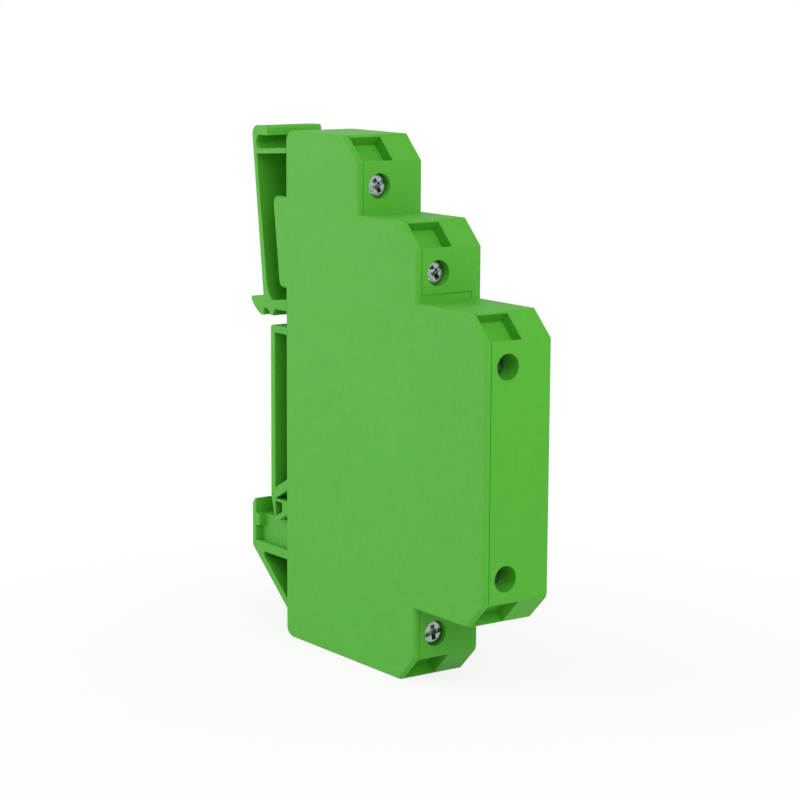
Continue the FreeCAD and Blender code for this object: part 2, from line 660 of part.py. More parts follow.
def make_rail_latch():
    """Lever with a rail hook below, a thumb ledge on top and an eye that turns on the shell's pin."""
    body = new_body("rail_latch")
    near = "(cover_thickness + latch_gap)"
    far = "(case_width - latch_gap)"
    web_near = "(%s + latch_cell)" % near
    web_far = "(%s + latch_web)" % web_near
    root = "(0 - latch_root)"
    lean_top = "(%s - latch_lean * (latch_top - %s))" % (root, HOOK_TOP)
    ledge_end = "(%s + latch_ledge)" % lean_top
    ledge_low = "(latch_top - latch_ledge_wall)"
    back = "(0 - latch_back)"
    notch_back = "(%s - notch_back)" % SEAT
    notch_root = "(rail_height + notch_root)"
    tooth = "(%s - hook_tooth)" % LATCH_SOLE
    outline = [
        (root, HOOK_TOP),
        (lean_top, "latch_top"),
        (ledge_end, "latch_top"),
        (ledge_end, ledge_low),
        (back, "%s + latch_rib_wall" % LATCH_RIB),
        (back, LATCH_SOLE),
        ("%s + notch_width + 2.3" % notch_back, LATCH_SOLE),
        ("%s + notch_width + 1.65" % notch_back, "%s + 0.2" % tooth),
        ("%s + notch_width + 1.0" % notch_back, "%s + 0.2" % tooth),
        ("%s + notch_width" % notch_back, notch_root),
        (notch_back, notch_root),
        ("%s - 0.25" % notch_back, tooth),
        ("%s - 0.9" % notch_back, tooth, "hook_sweep"),
        ("%s - hook_reach" % root, "%s - 1.1" % HOOK_TOP),
        ("%s - hook_reach" % root, "%s - 0.5" % HOOK_TOP),
    ]
    last = side_pad(body, "Lever", near, far, [list(reversed_outline(outline))])
    top = through_edges(last.Shape, [(lean_top, "latch_top")])
    last = soften(body, "TopCorner", last, top, "latch_round")
    front = through_edges(last.Shape, [(ledge_end, "latch_top")])
    soften(body, "LedgeEnd", last, front, "latch_round / 3")

    # Two cells on each side of the web, open towards the case
    open_end = "0"
    rib_top_left = "(%s - latch_tilt * latch_root)" % LATCH_RIB
    sole_top = "(%s + latch_sole_wall)" % LATCH_SOLE
    skin_low = "(%s + latch_skin)" % root
    skin_high = "(%s + latch_skin - latch_lean * (%s - %s))" % (root, rib_top_left, HOOK_TOP)
    upper = [
        ("%s + 0.35" % skin_high, rib_top_left),
        (open_end, LATCH_RIB),
        (open_end, "latch_top + 1"),
        ("%s + 0.01" % ledge_end, "latch_top + 1"),
        ("%s + 0.01" % ledge_end, ledge_low),
        ("%s + 0.35" % skin_high, ledge_low),
        ("%s - 0.25" % skin_high, "%s / 2 + %s / 2" % (rib_top_left, ledge_low)),
    ]
    lower = [
        (skin_low, "%s + 2.4" % sole_top),
        ("%s + 0.6" % skin_low, "%s + 0.7" % sole_top),
        ("%s + 1.8" % skin_low, "%s - 0.3" % sole_top),
        (open_end, "%s + 0.4" % sole_top),
        (open_end, "%s - latch_rib_wall" % LATCH_RIB),
        (skin_high, "%s - latch_rib_wall" % rib_top_left),
    ]
    side_cut(body, "NearCells", near, web_near, [upper, lower])
    side_cut(body, "FarCells", web_far, far, [upper, lower])

    # Eye and neck reach through the back of the case onto the pin
    neck_low = "%s - neck_height / 2" % PIVOT_HEIGHT
    neck_high = "%s + neck_height / 2" % PIVOT_HEIGHT
    neck = box_corners("%s - 1.5" % back, "pivot_in", neck_low, neck_high)
    side_pad(body, "Neck", near, web_far, [neck])
    eye = side_sketch(body, "EyeSketch", near)
    draw_circle(eye, "pivot_in", PIVOT_HEIGHT, "2 * %s" % EYE_RADIUS)
    pad(body, "Eye", eye, "%s - %s" % (web_far, near))
    bore = side_sketch(body, "EyeBoreSketch", near)
    draw_circle(bore, "pivot_in", PIVOT_HEIGHT, "pin_diameter + 2 * pin_play")
    cut(body, "EyeBore", bore, "%s - %s" % (web_far, near))
    return body


def reversed_outline(corners):
    """The same outline walked the other way round, with arcs kept on their sides."""
    count = len(corners)
    for index in range(count):
        corner = corners[count - 1 - index]
        before = corners[count - 2 - index]
        yield (corner[0], corner[1]) + tuple(before[2:])


# Terminal hardware

def terminal_placement(body, front, edge, side, depth):
    """Places a piece at a screw axis, at a depth behind the front face."""
    bind(body, "Placement.Base.x", "seat_depth + %s - (%s)" % (front, depth))
    bind(body, "Placement.Base.y", "well_from_side - case_width / 2")
    bind(body, "Placement.Base.z", "%s - rail_height" % axis_height(edge, side))


def make_screw(number, front, edge, side, extra):
    """Terminal screw with a driver slot and a cross recess, its head at the local origin."""
    body = doc.addObject("PartDesign::Body", "terminal_screw_%d" % number)
    body.Label = "terminal_screw_%d" % number
    profile = new_sketch(body, "XZ_Plane", "Profile%d" % number)
    head = "(head_diameter / 2)"
    shank = "(thread_diameter / 2)"
    tip = "(0 - head_height - screw_reach)"
    draw_outline(profile, [
        ("0", "0"),
        ("0", "%s - head_bevel" % head),
        ("0 - head_bevel", head),
        ("0 - head_height", head),
        ("0 - head_height", shank),
        ("%s + head_bevel * 2" % tip, shank),
        (tip, "%s - head_bevel * 2" % shank),
        (tip, "0"),
    ])
    turned = body.newObject("PartDesign::Revolution", "Turned%d" % number)
    turned.Profile = profile
    turned.ReferenceAxis = (profile, ["H_Axis"])
    turned.Angle = 360
    settle(body, turned, grows=True)
    slot = new_sketch(body, "YZ_Plane", "Slot%d" % number)
    slot_corners = box_corners("0 - head_diameter", "head_diameter", "0 - slot_cut / 2", "slot_cut / 2")
    draw_outline(slot, slot_corners)
    cut(body, "DriverSlot%d" % number, slot, "slot_sink")
    cross = new_sketch(body, "YZ_Plane", "Cross%d" % number)
    thin = "(cross_cut / 2)"
    wide = "(cross_span / 2)"
    draw_outline(cross, [
        ("0 - %s" % wide, "0 - %s" % thin), ("0 - %s" % thin, "0 - %s" % thin),
        ("0 - %s" % thin, "0 - %s" % wide), (thin, "0 - %s" % wide),
        (thin, "0 - %s" % thin), (wide, "0 - %s" % thin),
        (wide, thin), (thin, thin),
        (thin, wide), ("0 - %s" % thin, wide),
        ("0 - %s" % thin, thin), ("0 - %s" % wide, thin),
    ])
    cut(body, "CrossRecess%d" % number, cross, "cross_sink")
    terminal_placement(body, front, edge, side, "head_depth + %s" % extra)
    body.Placement.Rotation = FreeCAD.Rotation(FreeCAD.Vector(1, 0, 0), SLOT_ANGLES[number - 1])
    return body


def make_cage(number, front, edge, side, extra):
    """Rising clamp cage, a closed loop with the screw's thread in its front wall. It stands open."""
    body = doc.addObject("PartDesign::Body", "clamp_cage_%d" % number)
    body.Label = "clamp_cage_%d" % number
    half = "(cage_width / 2)"
    nut_front = "(cage_play + cage_nut)"
    jaw_face = "(0 - bar_thickness - wire_room)"
    loop = new_sketch(body, "XY_Plane", "Loop%d" % number, "0 - cage_height / 2")
    draw_outline(loop, box_corners("%s - cage_jaw" % jaw_face, nut_front, "0 - %s" % half, half))
    opening = box_corners(jaw_face, "cage_play", "0 - %s + cage_side" % half, "%s - cage_side" % half)
    draw_outline(loop, opening)
    pad(body, "Cage%d" % number, loop, "cage_height", backwards=True)
    thread = new_sketch(body, "YZ_Plane", "Thread%d" % number, nut_front)
    draw_circle(thread, "0", "0", "thread_diameter + 2 * thread_play")
    cut(body, "ThreadBore%d" % number, thread, "cage_nut + cage_play / 2")
    depth = "head_depth + head_height + screw_reach + tip_play + %s" % extra
    terminal_placement(body, front, edge, side, depth)
    return body


def make_bar(number, front, edge, side, extra):
    """Flat contact bar: a strip through the cage, a foot towards the board and a solder pin."""
    body = doc.addObject("PartDesign::Body", "contact_bar_%d" % number)
    body.Label = "contact_bar_%d" % number
    strip = "(cage_width / 2 - cage_side - bar_play)"
    top = "%d * (cage_height / 2 + bar_end)" % side
    shoulder = "%d * (0 - cage_height / 2 - bar_end)" % side
    base = "%d * (0 - cage_height / 2 - bar_end - bar_foot)" % side
    pin_low = "%d * (0 - cage_height / 2 - bar_end - bar_foot / 2 - bar_pin / 2)" % side
    pin_high = "%d * (0 - cage_height / 2 - bar_end - bar_foot / 2 + bar_pin / 2)" % side
    board = "(%s - well_from_side)" % BOARD_FACE
    out = "(%s + pin_out - well_from_side)" % BOARD_BACK
    sheet_view = new_sketch(body, "YZ_Plane", "Strip%d" % number)
    draw_outline(sheet_view, [
        ("0 - %s" % strip, top),
        (strip, top),
        (strip, shoulder),
        (board, shoulder),
        (board, pin_high),
        (out, pin_high),
        (out, pin_low),
        (board, pin_low),
        (board, base),
        ("0 - %s" % strip, base),
    ])
    bar = body.newObject("PartDesign::Pad", "Bar%d" % number)
    bar.Profile = sheet_view
    bar.Reversed = True
    bind(bar, "Length", "bar_thickness")
    settle(body, bar, grows=True)
    depth = "head_depth + head_height + screw_reach + tip_play + %s" % extra
    terminal_placement(body, front, edge, side, depth)
    return body


# Circuit board and what stands on it

def lead_places():
    """Where component leads pass the board, in the case frame."""
    places = []
    across, up = TUBE_PLACE
    for share in (-1, 0, 1):
        places.append((across, "%s + %d * (tube_length - tube_rim_width) / 2" % (up, share)))
    for across, up in RESISTOR_PLACES:
        for share in (-1, 1):
            places.append(("%s + %d * (resistor_length / 2 + lead_stub)" % (across, share), up))
    return places


def make_board():
    """Circuit board on the feet of the posts, cut out round the latch bay."""
    body = new_body("circuit_board")
    side_pad(body, "Board", BOARD_FACE, BOARD_BACK, [case_outline("(wall + board_gap)")])
    room = "(bay_wall + board_gap)"
    notch_low = "%s - %s" % (BAY_LOW, room)
    notch_high = "%s + %s" % (BAY_HIGH, room)
    notch = box_corners("0", "%s + %s" % (BAY_FRONT, room), notch_low, notch_high)
    side_cut(body, "BayNotch", BOARD_FACE, BOARD_BACK, [notch])
    holes = side_sketch(body, "HolesSketch", BOARD_FACE)
    for across, up in POST_PLACES:
        draw_circle(holes, across, up, "post_diameter + 2 * post_play")
    for across, up in lead_places():
        draw_circle(holes, across, up, "lead_diameter + 2 * hole_play")
    cut(body, "Holes", holes, "board_thickness")
    slots = []
    for front, edge, side, extra in TERMINALS:
        face = "(%s - head_depth - head_height - screw_reach - tip_play - %s)" % (front, extra)
        middle = "(%s - %d * (cage_height / 2 + bar_end + bar_foot / 2))" % (axis_height(edge, side), side)
        half = "(bar_pin / 2 + hole_play)"
        left = "%s - bar_thickness - hole_play" % face
        right = "%s + hole_play" % face
        slots.append(box_corners(left, right, "%s - %s" % (middle, half), "%s + %s" % (middle, half)))
    side_cut(body, "PinSlots", BOARD_FACE, BOARD_BACK, slots)
    return body


def cylinder(name, radius, height, turn, places):
    """Bound cylinder primitive. Places are its base, turn its rotation."""
    item = doc.addObject("Part::Cylinder", name)
    bind(item, "Radius", radius)
    bind(item, "Height", height)
    item.Placement = FreeCAD.Placement(FreeCAD.Vector(), turn)
    for axis, text in zip("xyz", places):
        bind(item, "Placement.Base." + axis, text)
    return item


UPRIGHT = FreeCAD.Rotation()
ALONG_X = FreeCAD.Rotation(FreeCAD.Vector(0, 1, 0), 90)
ALONG_Y = FreeCAD.Rotation(FreeCAD.Vector(1, 0, 0), -90)


def join(name, pieces):
    """One node from bound primitives."""
    item = doc.addObject("Part::MultiFuse", name)
    item.Label = name
    item.Shapes = pieces
    item.Refine = True
    return item


def board_point(across, up, lift):
    """Point over the board's face in the model frame, from its place in the case frame."""
    return (
        "seat_depth + %s" % across,
        "%s - (%s) - case_width / 2" % (BOARD_FACE, lift),
        "%s - rail_height" % up,
    )


def make_tube():
    """Sealed gas discharge tube: ceramic barrel between three electrodes, with three leads."""
    across, up = TUBE_PLACE
    lift = TUBE_RADIUS
    pieces = [cylinder(
        "TubeBarrel", "%s - tube_rim" % TUBE_RADIUS, "tube_length", UPRIGHT,
        board_point(across, "%s - tube_length / 2" % up, lift),
    )]
    for share, label in ((-1, "Low"), (0, "Middle"), (1, "High")):
        middle = "%s + %d * (tube_length - tube_rim_width) / 2" % (up, share)
        pieces.append(cylinder(
            "TubeRim" + label, TUBE_RADIUS, "tube_rim_width", UPRIGHT,
            board_point(across, "%s - tube_rim_width / 2" % middle, lift),
        ))
        pieces.append(cylinder(
            "TubeLead" + label,
            "lead_diameter / 2", "%s + board_thickness + pin_out" % TUBE_RADIUS, ALONG_Y,
            board_point(across, middle, lift),
        ))
    return join("gas_discharge_tube", pieces)


def make_resistor(number, place):
    """Axial resistor lying on the board, with its leads bent down through the board."""
    across, up = place
    name = "decoupling_resistor_%d" % number
    lift = "resistor_diameter / 2"
    reach = "(resistor_length / 2 + lead_stub)"
    radius = "lead_diameter / 2"
    pieces = [
        cylinder(name + "_barrel", lift, "resistor_length", ALONG_X,
                 board_point("%s - resistor_length / 2" % across, up, lift)),
        cylinder(name + "_wire", radius, "2 * %s + 1.2 * lead_diameter" % reach, ALONG_X,
                 board_point("%s - %s - 0.6 * lead_diameter" % (across, reach), up, lift)),
    ]
    for share, label in ((-1, "_back"), (1, "_front")):
        foot = board_point("%s + %d * %s" % (across, share, reach), up, "%s + 0.6 * lead_diameter" % lift)
        drop = "%s + 0.6 * lead_diameter + board_thickness + pin_out" % lift
        pieces.append(cylinder(name + label, radius, drop, ALONG_Y, foot))
    return join(name, pieces)


def block(name, length, depth, height, low):
    """Bound box primitive from its lowest corner."""
    item = doc.addObject("Part::Box", name)
    bind(item, "Length", length)
    bind(item, "Width", depth)
    bind(item, "Height", height)
    for axis, text in zip("xyz", low):
        bind(item, "Placement.Base." + axis, text)
    return item


def make_diode(number, place):
    """Surface-mounted suppressor diode: moulded body with a folded lead at each end."""
    across, up = place
    name = "suppressor_diode_%d" % number
    pieces = [block(
        name + "_body", "diode_length", "diode_height", "diode_width",
        board_point("%s - diode_length / 2" % across, "%s - diode_width / 2" % up,
                    "diode_lift + diode_height"),
    )]
    ends = (
        ("_back", "(%s - diode_length / 2)" % across, "0 - diode_lead_sheet", "0 - diode_lead_sheet"),
        ("_front", "(%s + diode_length / 2)" % across, "0", "0 - diode_foot"),
    )
    for label, end, riser, foot in ends:
        low = "%s - diode_lead_width / 2" % up
        pieces += [
            block(name + label, "diode_lead_sheet", "diode_lift + diode_height / 2", "diode_lead_width",
                  board_point("%s + %s" % (end, riser), low, "diode_lift + diode_height / 2")),
            block(name + label + "_foot",
                  "diode_foot + diode_lead_sheet", "diode_lift", "diode_lead_width",
                  board_point("%s + %s" % (end, foot), low, "diode_lift")),
        ]
    return join(name, pieces)


# Build, check and write

nodes = [make_main_shell(), make_side_cover(), make_rail_latch()]
for number, terminal in enumerate(TERMINALS, 1):
    nodes += [make_screw(number, *terminal), make_cage(number, *terminal), make_bar(number, *terminal)]
nodes += [make_board(), make_tube()]
nodes += [make_resistor(number, place) for number, place in enumerate(RESISTOR_PLACES, 1)]
nodes += [make_diode(number, place) for number, place in enumerate(DIODE_PLACES, 1)]
doc.recompute()

for item in doc.Objects:
    if "Invalid" in item.State or "Error" in item.State:
        raise RuntimeError("%s did not build: %s" % (item.Label, item.State))
for node in nodes:
    shape = node.Shape
    if shape.isNull() or not shape.isValid() or len(shape.Solids) != 1:
        raise RuntimeError("%s is not one sound solid" % node.Label)

os.makedirs("parts", exist_ok=True)
for node in nodes:
    node.Shape.exportStep("parts/%s.step" % node.Label)
    box = node.Shape.BoundBox
    print("%-22s %8.1f mm3  X %6.2f to %6.2f  Y %6.2f to %6.2f  Z %6.2f to %6.2f" % (
        node.Label, node.Shape.Volume, box.XMin, box.XMax, box.YMin, box.YMax, box.ZMin, box.ZMax))
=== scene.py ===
"""Looks of a rail-mounted surge protector module, laid out as an add-on and run as a script.

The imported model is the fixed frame. Every length is in metres, in the model's own frame: +X points
to the front of the module, +Y to its closed side and +Z up. The origin lies on the rail seat.
"""

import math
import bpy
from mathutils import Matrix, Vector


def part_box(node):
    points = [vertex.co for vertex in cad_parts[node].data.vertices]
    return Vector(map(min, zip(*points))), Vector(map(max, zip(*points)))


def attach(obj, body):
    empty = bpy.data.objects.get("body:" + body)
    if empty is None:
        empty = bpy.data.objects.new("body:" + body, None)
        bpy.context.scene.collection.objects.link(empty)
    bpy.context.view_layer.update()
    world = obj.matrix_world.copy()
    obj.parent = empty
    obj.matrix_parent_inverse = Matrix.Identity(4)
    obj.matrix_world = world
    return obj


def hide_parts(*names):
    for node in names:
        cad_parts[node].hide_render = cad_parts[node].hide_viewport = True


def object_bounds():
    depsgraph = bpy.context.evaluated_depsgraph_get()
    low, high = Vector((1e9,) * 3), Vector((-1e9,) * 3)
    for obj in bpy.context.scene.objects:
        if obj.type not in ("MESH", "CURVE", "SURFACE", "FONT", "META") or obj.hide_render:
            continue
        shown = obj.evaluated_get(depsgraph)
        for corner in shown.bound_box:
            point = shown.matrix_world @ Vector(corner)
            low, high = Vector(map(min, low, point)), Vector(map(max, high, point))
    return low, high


bl_info = {
    "name": "Surge Protector Looks",
    "version": (1, 0, 0),
    "blender": (4, 5, 0),
    "location": "3D View > Sidebar > Surge Protector",
    "description": "Dresses the surge protector module and lights it on a pale floor",
    "category": "Object",
}

import bmesh
import bpy
from bpy.props import FloatProperty, FloatVectorProperty, PointerProperty
from mathutils import Matrix, Vector

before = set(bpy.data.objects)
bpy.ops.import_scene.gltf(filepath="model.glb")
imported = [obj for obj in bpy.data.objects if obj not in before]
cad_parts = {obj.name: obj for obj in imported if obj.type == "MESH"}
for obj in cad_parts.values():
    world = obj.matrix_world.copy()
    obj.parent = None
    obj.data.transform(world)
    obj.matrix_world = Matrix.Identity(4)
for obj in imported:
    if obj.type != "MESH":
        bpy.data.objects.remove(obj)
CAD_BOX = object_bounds()

MM = 0.001
WHITE = (1.0, 1.0, 1.0, 1.0)

# Terminals by number, and those whose contact bars have their board pins at the lower end
TERMINALS = range(1, 6)
PINS_BELOW = (1, 2, 3)

# Rest angle of each driver slot about the screw's axis, in degrees, as the solids have it
SLOT_ANGLES = (28.0, 35.0, 15.0, 20.0, 10.0)

# How far each screw's crown stands out of its solid, since the screws aren't driven in alike
CROWN_RISES = (1.1 * MM, 0.8 * MM, 0.7 * MM, 0.6 * MM, 1.2 * MM)


def linear(code):
    """Linear colour from an sRGB hex value."""
    channels = [int(code[i:i + 2], 16) / 255 for i in (1, 3, 5)]
    return tuple(c / 12.92 if c <= 0.04045 else ((c + 0.055) / 1.055) ** 2.4 for c in channels)


def per_mm(length):
    """Texture scale at which a pattern repeats about every so many millimetres."""
    return 1 / (length * MM)


def bands_per_mm(length):
    """The same for a wave texture, which puts a band every tenth of pi at a scale of 1."""
    return per_mm(length) * math.pi / 10


# Sizes and colours that a user would change

class CaseLooks(bpy.types.PropertyGroup):
    plastic: FloatVectorProperty(
        name="Plastic", description="Green of the moulded case", subtype="COLOR", size=3,
        default=linear("#48A91D"), min=0, max=1)
    grain: FloatProperty(
        name="Grain", description="Size of the fine grain from the mould", subtype="DISTANCE",
        default=0.3 * MM, min=0.05 * MM, max=2 * MM)
    edge: FloatProperty(
        name="Edge", description="Radius that light sees on the moulded edges", subtype="DISTANCE",
        default=0.1 * MM, min=0, max=1 * MM)
    roughness: FloatProperty(
        name="Roughness", description="Mean roughness of the moulded surface", subtype="FACTOR",
        default=0.66, min=0, max=1)


class ScrewLooks(bpy.types.PropertyGroup):
    zinc: FloatVectorProperty(
        name="Zinc", description="Colour of the zinc plating", subtype="COLOR", size=3,
        default=linear("#A6AEAD"), min=0, max=1)
    pitch: FloatProperty(
        name="Pitch", description="Thread pitch", subtype="DISTANCE",
        default=0.5 * MM, min=0.2 * MM, max=1 * MM)
    crown: FloatProperty(
        name="Crown", description="Height of the slightly domed head", subtype="DISTANCE",
        default=0.12 * MM, min=0, max=0.4 * MM)


class StageLooks(bpy.types.PropertyGroup):
    lamps: FloatProperty(
        name="Lamps", description="Share of the soft lamps' power", default=1.0, min=0)
    sky: FloatProperty(
        name="Sky", description="Strength of the even light from all round", default=0.41, min=0)


# Small helpers for nodes and meshes

def socket(sockets, key):
    """Socket by its identifier, such as "A_Color", or by its name."""
    for item in sockets:
        if item.identifier == key:
            return item
    return sockets[key]


def add_node(tree, kind, inputs=None, **settings):
    """Adds a node, sets its properties, and fills its inputs with values or links."""
    node = tree.nodes.new(kind)
    for name, value in settings.items():
        setattr(node, name, value)
    for name, value in (inputs or {}).items():
        if isinstance(value, bpy.types.NodeSocket):
            tree.links.new(value, socket(node.inputs, name))
        else:
            socket(node.inputs, name).default_value = value
    return node


def colour(rgb):
    """Colour with full alpha for a node socket."""
    return (rgb[0], rgb[1], rgb[2], 1.0)


def shade(rgb, factor):
    """A lighter or darker version of a colour."""
    return tuple(min(1.0, c * factor) for c in rgb)


def start_material(name):
    """New material with an empty tree, and its coordinates in metres."""
    material = bpy.data.materials.new(name)
    material.use_nodes = True
    tree = material.node_tree
    tree.nodes.clear()
    place = add_node(tree, "ShaderNodeTexCoord").outputs["Object"]
    return material, tree, place


def finish_material(tree, inputs):
    """Principled shader on the material's output."""
    shader = add_node(tree, "ShaderNodeBsdfPrincipled", inputs)
    add_node(tree, "ShaderNodeOutputMaterial", {"Surface": shader.outputs["BSDF"]})


def dress(node_name, material):
    """Gives a CAD node its material."""
    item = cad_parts[node_name]
    item.data.materials.clear()
    item.data.materials.append(material)


def new_piece(name, mesh, material, body):
    """Object from a bmesh, riding on a body."""
    data = bpy.data.meshes.new(name)
    mesh.to_mesh(data)
    mesh.free()
    data.materials.append(material)
    item = bpy.data.objects.new(name, data)
    bpy.context.scene.collection.objects.link(item)
    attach(item, body)
    return item


# Materials

def moulded_polyamide(looks):
    """Green polyamide 6, injection moulded in a spark-eroded tool. It is satin, with a fine even
    grain, slightly cloudy in colour where the melt has flowed, and light glows a little in its thin
    walls."""
    material, tree, place = start_material("moulded_polyamide")
    # Clouds of the melt's flow, specks of pigment, and flow marks that are duller or shinier
    cloud = add_node(tree, "ShaderNodeTexNoise", {
        "Vector": place, "Scale": per_mm(26), "Detail": 3.0})
    specks = add_node(tree, "ShaderNodeTexNoise", {
        "Vector": place, "Scale": per_mm(1.1), "Detail": 3.0})
    flow = add_node(tree, "ShaderNodeTexNoise", {
        "Vector": place, "Scale": per_mm(5), "Detail": 4.0})
    # The tool's grain is about 0.1 mm, too fine to show, so it is drawn three times as coarse
    grain = add_node(tree, "ShaderNodeTexNoise", {
        "Vector": place, "Scale": 1 / looks.grain, "Detail": 2.0})
    wide = add_node(tree, "ShaderNodeMix", {
        "Factor_Float": cloud.outputs["Fac"],
        "A_Color": colour(shade(looks.plastic, 0.95)),
        "B_Color": colour(shade(looks.plastic, 1.05)),
    }, data_type="RGBA")
    fine = add_node(tree, "ShaderNodeMapRange", {
        "Value": specks.outputs["Fac"], "From Min": 0.3, "From Max": 0.7,
        "To Min": 0.965, "To Max": 1.035})
    base = add_node(tree, "ShaderNodeVectorMath", {
        "Vector": socket(wide.outputs, "Result_Color"), "Scale": fine.outputs["Result"],
    }, operation="SCALE")
    rough = add_node(tree, "ShaderNodeMapRange", {
        "Value": flow.outputs["Fac"],
        "To Min": looks.roughness - 0.06, "To Max": looks.roughness + 0.06})
    edge = add_node(tree, "ShaderNodeBevel", {"Radius": looks.edge}, samples=6)
    bump = add_node(tree, "ShaderNodeBump", {
        "Height": grain.outputs["Fac"], "Normal": edge.outputs["Normal"],
        "Strength": 0.14, "Distance": 0.05 * MM})
    finish_material(tree, {
        "Base Color": base.outputs["Vector"],
        "Roughness": rough.outputs["Result"],
        "Normal": bump.outputs["Normal"],
        "IOR": 1.53,
        "Subsurface Weight": 0.04,
        "Subsurface Radius": (0.3, 1.0, 0.2),
        "Subsurface Scale": 1.0 * MM,
    })
    return material


def plated_metal(name, tones, size, roughness, dents, edge, stretch=(1.0, 1.0, 1.0)):
    """Metal with a cloudy plating and a fine relief. Each caller names the real material."""
    material, tree, place = start_material(name)
    pulled = add_node(tree, "ShaderNodeMapping", {"Vector": place, "Scale": stretch})
    patches = add_node(tree, "ShaderNodeTexNoise", {
        "Vector": place, "Scale": per_mm(size), "Detail": 4.0})
    relief = add_node(tree, "ShaderNodeTexNoise", {
        "Vector": pulled.outputs["Vector"], "Scale": per_mm(dents), "Detail": 3.0})
    base = add_node(tree, "ShaderNodeMix", {
        "Factor_Float": patches.outputs["Fac"],
        "A_Color": colour(tones[0]), "B_Color": colour(tones[1]),
    }, data_type="RGBA")
    rough = add_node(tree, "ShaderNodeMapRange", {
        "Value": patches.outputs["Fac"], "To Min": roughness[0], "To Max": roughness[1]})
    rounded = add_node(tree, "ShaderNodeBevel", {"Radius": edge}, samples=6)
    bump = add_node(tree, "ShaderNodeBump", {
        "Height": relief.outputs["Fac"], "Normal": rounded.outputs["Normal"],
        "Strength": 0.25, "Distance": 0.03 * MM})
    finish_material(tree, {
        "Base Color": socket(base.outputs, "Result_Color"),
        "Metallic": 1.0,
        "Roughness": rough.outputs["Result"],
        "Normal": bump.outputs["Normal"],
    })
    return material


def zinc_plated_steel(looks):
    """Steel, cold headed or folded, barrel plated with bright zinc. It is a bluish grey mirror
    broken by fine tumbling dents, duller in patches."""
    tones = (shade(looks.zinc, 0.88), shade(looks.zinc, 1.1))
    return plated_metal("zinc_plated_steel", tones, 1.4, (0.14, 0.32), 0.35, 0.06 * MM)


def tinned_copper():
    """Copper alloy sheet, blanked and dipped in tin. It is pale and slightly yellow, with long
    faint rolling lines."""
    tones = (linear("#C9C5B6"), linear("#DAD7CE"))
    return plated_metal(
        "tinned_copper", tones, 2.0, (0.26, 0.4), 0.15, 0.08 * MM, stretch=(1.0, 1.0, 0.08))


def wave_solder():
    """Lead-free solder, wave soldered. It is a slightly grainy grey mirror."""
    tones = (linear("#B4B6B8"), linear("#D0D2D3"))
    return plated_metal("wave_solder", tones, 0.6, (0.24, 0.36), 0.4, 0.05 * MM)


def etched_copper():
    """Copper foil, etched and lacquered. It is warm and even."""
    tones = (linear("#B5713C"), linear("#C98650"))
    return plated_metal("etched_copper", tones, 1.2, (0.28, 0.4), 0.3, 0.05 * MM)


def glass_epoxy_laminate():
    """Bare FR4 board. It is yellowish epoxy over glass cloth, whose square weave of 0.5 mm shows
    through."""
    material, tree, place = start_material("glass_epoxy_laminate")
    weave = []
    for direction in ("X", "Z"):
        wave = add_node(tree, "ShaderNodeTexWave", {
            "Vector": place, "Scale": bands_per_mm(0.5),
            "Distortion": 0.4, "Detail": 1.0, "Detail Scale": 1.0},
            wave_type="BANDS", bands_direction=direction)
        weave.append(wave.outputs["Fac"])
    threads = add_node(tree, "ShaderNodeMath", {
        "Value": weave[0], "Value_001": weave[1]}, operation="MULTIPLY")
    base = add_node(tree, "ShaderNodeMix", {
        "Factor_Float": threads.outputs["Value"],
        "A_Color": colour(linear("#9C8A4A")), "B_Color": colour(linear("#B5A763")),
    }, data_type="RGBA")
    rough = add_node(tree, "ShaderNodeMapRange", {
        "Value": threads.outputs["Value"], "To Min": 0.3, "To Max": 0.42})
    bump = add_node(tree, "ShaderNodeBump", {
        "Height": threads.outputs["Value"], "Strength": 0.15, "Distance": 0.02 * MM})
    finish_material(tree, {
        "Base Color": socket(base.outputs, "Result_Color"),
        "Roughness": rough.outputs["Result"],
        "Normal": bump.outputs["Normal"],
        "IOR": 1.55,
    })
    return material


# Tinned leads and plated rims of the components
LEAD_METAL = linear("#D2CFC6")
LEAD_ROUGHNESS = 0.3


